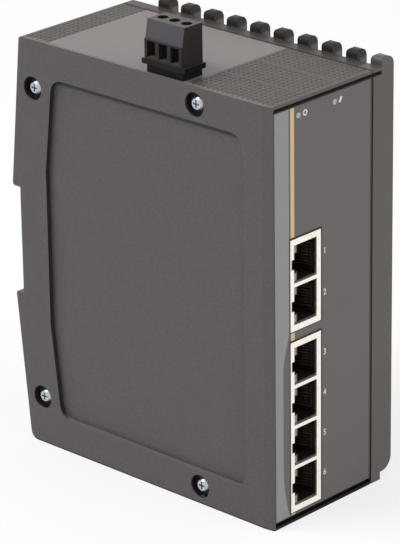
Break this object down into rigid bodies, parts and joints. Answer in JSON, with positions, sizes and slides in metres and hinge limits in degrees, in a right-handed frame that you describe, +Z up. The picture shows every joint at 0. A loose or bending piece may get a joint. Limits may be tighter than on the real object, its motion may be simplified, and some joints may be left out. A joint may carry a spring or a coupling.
{
  "type": "din rail ethernet switch",
  "caption": "Upright rail-mounted network switch: stacked shielded ports in front, vented top, screwed side cover, finned heat sink, pull-off supply plug and sprung rail latch.",
  "frame": {"origin": "middle of the base of the bounding box", "axes": "+Z up, ports face -Y, the rail lies along X behind the part at +Y, side cover at -X, heat-sink fins at +X"},
  "size_m": [0.0576, 0.1143, 0.159],
  "materials": {
    "cover": "fine spark-eroded texture",
    "heat_sink": "satin dark coating",
    "walls": "fine texture",
    "front": "satin",
    "label": "satin film",
    "zinc": "bright zinc",
    "spacer": "turned",
    "board": "solder resist",
    "chip": "moulded",
    "pad": "soft",
    "ferrite": "ceramic",
    "can": "sleeved can",
    "light_guide": "frosted",
    "shield": "tin plate",
    "insert": "moulded",
    "contact": "gold flash",
    "connector": "moulded",
    "tin_pin": "tin plate"
  },
  "bodies": {
    "housing": {"side_cover": "cover", "heat_sink": "heat_sink", "top_cover": "walls", "base_cover": "walls", "rear_wall": "walls", "front_panel": "front", "front_label": "label", "cover_screws": "zinc", "board_screws": "zinc", "power_board_screws": "zinc", "cover_spacers": "spacer", "board_spacers": "spacer", "main_board": "board", "power_board": "board", "port_transformers": "chip", "switch_chip": "chip", "feed_chip": "chip", "thermal_pad": "pad", "power_transformer": "ferrite", "storage_capacitors": "can", "status_light_guides": "light_guide", "port_light_guides": "light_guide", "lower_jack_shield": "shield", "upper_jack_shield": "shield", "lower_jack_insert": "insert", "upper_jack_insert": "insert", "lower_jack_contacts": "contact", "upper_jack_contacts": "contact", "terminal_header": "connector", "board_link": "connector", "header_pins": "tin_pin", "latch_spring": "zinc"},
    "supply_plug": {"plug_body": "connector", "plug_cages": "tin_pin", "plug_screws": "zinc"},
    "latch": {"rail_latch": "zinc"}
  },
  "joints": [
    {"name": "supply_plug_pull", "type": "slide", "parent": "housing", "child": "supply_plug", "axis": [0, 0, 1], "range_m": [0, 0.012]},
    {"name": "latch_release", "type": "slide", "parent": "housing", "child": "latch", "axis": [0, 0, -1], "range_m": [0, 0.004], "stiffness_N_per_m": 1500, "springref_m": -0.003, "deforming": ["latch_spring"]}
  ]
}
